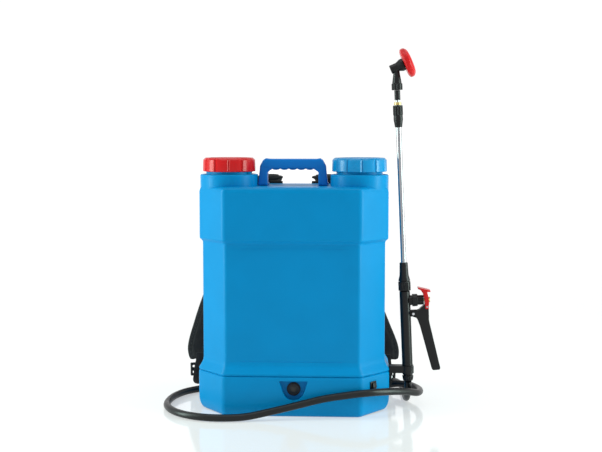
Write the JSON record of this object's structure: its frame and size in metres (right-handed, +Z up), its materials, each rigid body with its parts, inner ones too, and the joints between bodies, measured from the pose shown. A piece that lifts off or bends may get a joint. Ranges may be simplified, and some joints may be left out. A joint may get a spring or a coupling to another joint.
{
  "type": "backpack sprayer",
  "caption": "Battery backpack sprayer: moulded tank on a power base, screw filler caps, carry handle, shoulder straps, hose, trigger gun and telescopic lance with a spray head.",
  "frame": {"origin": "centre of the base housing's flat underside", "axes": "+Z up, front faces -Y, the gun and lance stand on the +X side"},
  "size_m": [0.5482, 0.3728, 0.7066],
  "materials": {
    "tank_blue": "blow-moulded cyan blue, semi-gloss",
    "cap_red": "moulded, glossy",
    "cap_blue": "moulded, glossy",
    "handle_blue": "moulded, satin",
    "black_plastic": "moulded, fine texture",
    "gun_black": "moulded, semi-gloss",
    "red_plastic": "moulded, glossy",
    "stainless": "polished stainless tube",
    "steel": "zinc plated",
    "brass": "machined",
    "hose_rubber": "smooth extruded, satin",
    "soft_rubber": "matte",
    "clear_tube": "translucent",
    "strainer_white": "moulded",
    "battery_case": "shrink wrapped",
    "board_green": "solder mask",
    "webbing": "woven polypropylene",
    "pad_fabric": "padded, stitched edge"
  },
  "bodies": {
    "frame": {"anchor_screw_left": "steel", "anchor_screw_right": "steel", "base_cover": "black_plastic", "base_housing": "tank_blue", "battery": "battery_case", "carry_handle": "handle_blue", "charging_socket": "black_plastic", "clip_screw": "steel", "control_board": "board_green", "cover_screw_left": "steel", "cover_screw_right": "steel", "gun_body": "gun_black", "gun_collar_nut": "gun_black", "handle_screw_left": "steel", "handle_screw_right": "steel", "hose": "hose_rubber", "hose_outlet": "black_plastic", "hose_tail_nut": "gun_black", "lance_clip": "black_plastic", "lance_outer_tube": "stainless", "lance_taper_nut": "gun_black", "outlet_tube": "clear_tube", "pump_head": "black_plastic", "pump_motor": "steel", "stop_ring": "brass", "strainer_left": "strainer_white", "strainer_right": "strainer_white", "strap_anchor_left": "black_plastic", "strap_anchor_right": "black_plastic", "strap_buckle_left": "black_plastic", "strap_buckle_right": "black_plastic", "strap_pad_left": "pad_fabric", "strap_pad_right": "pad_fabric", "strap_web_left": "webbing", "strap_web_right": "webbing", "suction_tube": "clear_tube", "switch_bezel": "black_plastic", "tank": "tank_blue", "tank_outlet": "black_plastic", "tank_outlet_strainer": "strainer_white", "trigger_pin": "steel", "valve_bonnet": "gun_black"},
    "power_rocker": {"power_rocker": "black_plastic"},
    "charging_cap": {"charging_cap": "soft_rubber"},
    "red_cap_lift": {"red_cap_gasket": "soft_rubber"},
    "red_cap": {"red_cap": "cap_red"},
    "blue_cap_lift": {"blue_cap_gasket": "soft_rubber"},
    "blue_cap": {"blue_cap": "cap_blue"},
    "trigger": {"trigger_lever": "gun_black", "lock_pin": "steel"},
    "trigger_lock": {"trigger_lock": "red_plastic"},
    "valve_stem": {"valve_stem": "brass"},
    "collet": {"collet_nut": "gun_black"},
    "inner_lance": {"lance_inner_tube": "stainless", "lance_sleeve": "gun_black", "union_nut": "gun_black"},
    "nozzle": {"nozzle_body": "gun_black", "nozzle_tip": "brass"},
    "spray_head": {"spray_head": "red_plastic"}
  },
  "joints": [
    {"name": "power_switch_rock", "type": "hinge", "parent": "frame", "child": "power_rocker", "pos_m": [0.15565, -0.07142, 0.0555], "axis": [0.6609, 0.7505, 0], "range_deg": [0, 10]},
    {"name": "charging_cap_pull", "type": "slide", "parent": "frame", "child": "charging_cap", "axis": [0, -1, 0], "range_m": [0, 0.015]},
    {"name": "red_cap_rise", "type": "slide", "parent": "frame", "child": "red_cap_lift", "axis": [0, 0, 1], "range_m": [0, 0.042]},
    {"name": "red_cap_turn", "type": "hinge", "parent": "red_cap_lift", "child": "red_cap", "pos_m": [-0.128, -0.01, 0.48], "axis": [0, 0, 1], "range_deg": [0, 722]},
    {"name": "blue_cap_rise", "type": "slide", "parent": "frame", "child": "blue_cap_lift", "axis": [0, 0, 1], "range_m": [0, 0.042]},
    {"name": "blue_cap_turn", "type": "hinge", "parent": "blue_cap_lift", "child": "blue_cap", "pos_m": [0.128, -0.01, 0.48], "axis": [0, 0, 1], "range_deg": [0, 722]},
    {"name": "trigger_squeeze", "type": "hinge", "parent": "frame", "child": "trigger", "pos_m": [0.23438, -0.02, 0.19165], "axis": [0, 1, 0], "range_deg": [0, 14], "stiffness_Nm_per_rad": 0.5, "springref_deg": -17.19},
    {"name": "valve_stem_travel", "type": "slide", "parent": "frame", "child": "valve_stem", "axis": [0.999, 0, 0.0448], "range_m": [0, 0.0064]},
    {"name": "trigger_lock_flip", "type": "hinge", "parent": "trigger", "child": "trigger_lock", "pos_m": [0.26077, -0.02, 0.20575], "axis": [0, 1, 0], "range_deg": [0, 40]},
    {"name": "collet_turn", "type": "hinge", "parent": "frame", "child": "collet", "pos_m": [0.20193, -0.02, 0.57999], "axis": [-0.0448, 0, 0.999], "range_deg": [0, 180]},
    {"name": "lance_extend", "type": "slide", "parent": "frame", "child": "inner_lance", "axis": [-0.0448, 0, 0.999], "range_m": [0, 0.22]},
    {"name": "nozzle_swivel", "type": "hinge", "parent": "inner_lance", "child": "nozzle", "pos_m": [0.19947, -0.02, 0.63493], "axis": [-0.0448, 0, 0.999], "continuous": true},
    {"name": "spray_head_turn", "type": "hinge", "parent": "nozzle", "child": "spray_head", "pos_m": [0.1979, -0.02, 0.6699], "axis": [0.9173, 0, 0.3983], "range_deg": [0, 270]}
  ],
  "couplings": [
    {"joint": "red_cap_turn", "follows": "red_cap_rise", "rad_per_m": 299.2},
    {"joint": "blue_cap_turn", "follows": "blue_cap_rise", "rad_per_m": 299.2},
    {"joint": "valve_stem_travel", "follows": "trigger_squeeze", "m_per_rad": 0.0256}
  ]
}
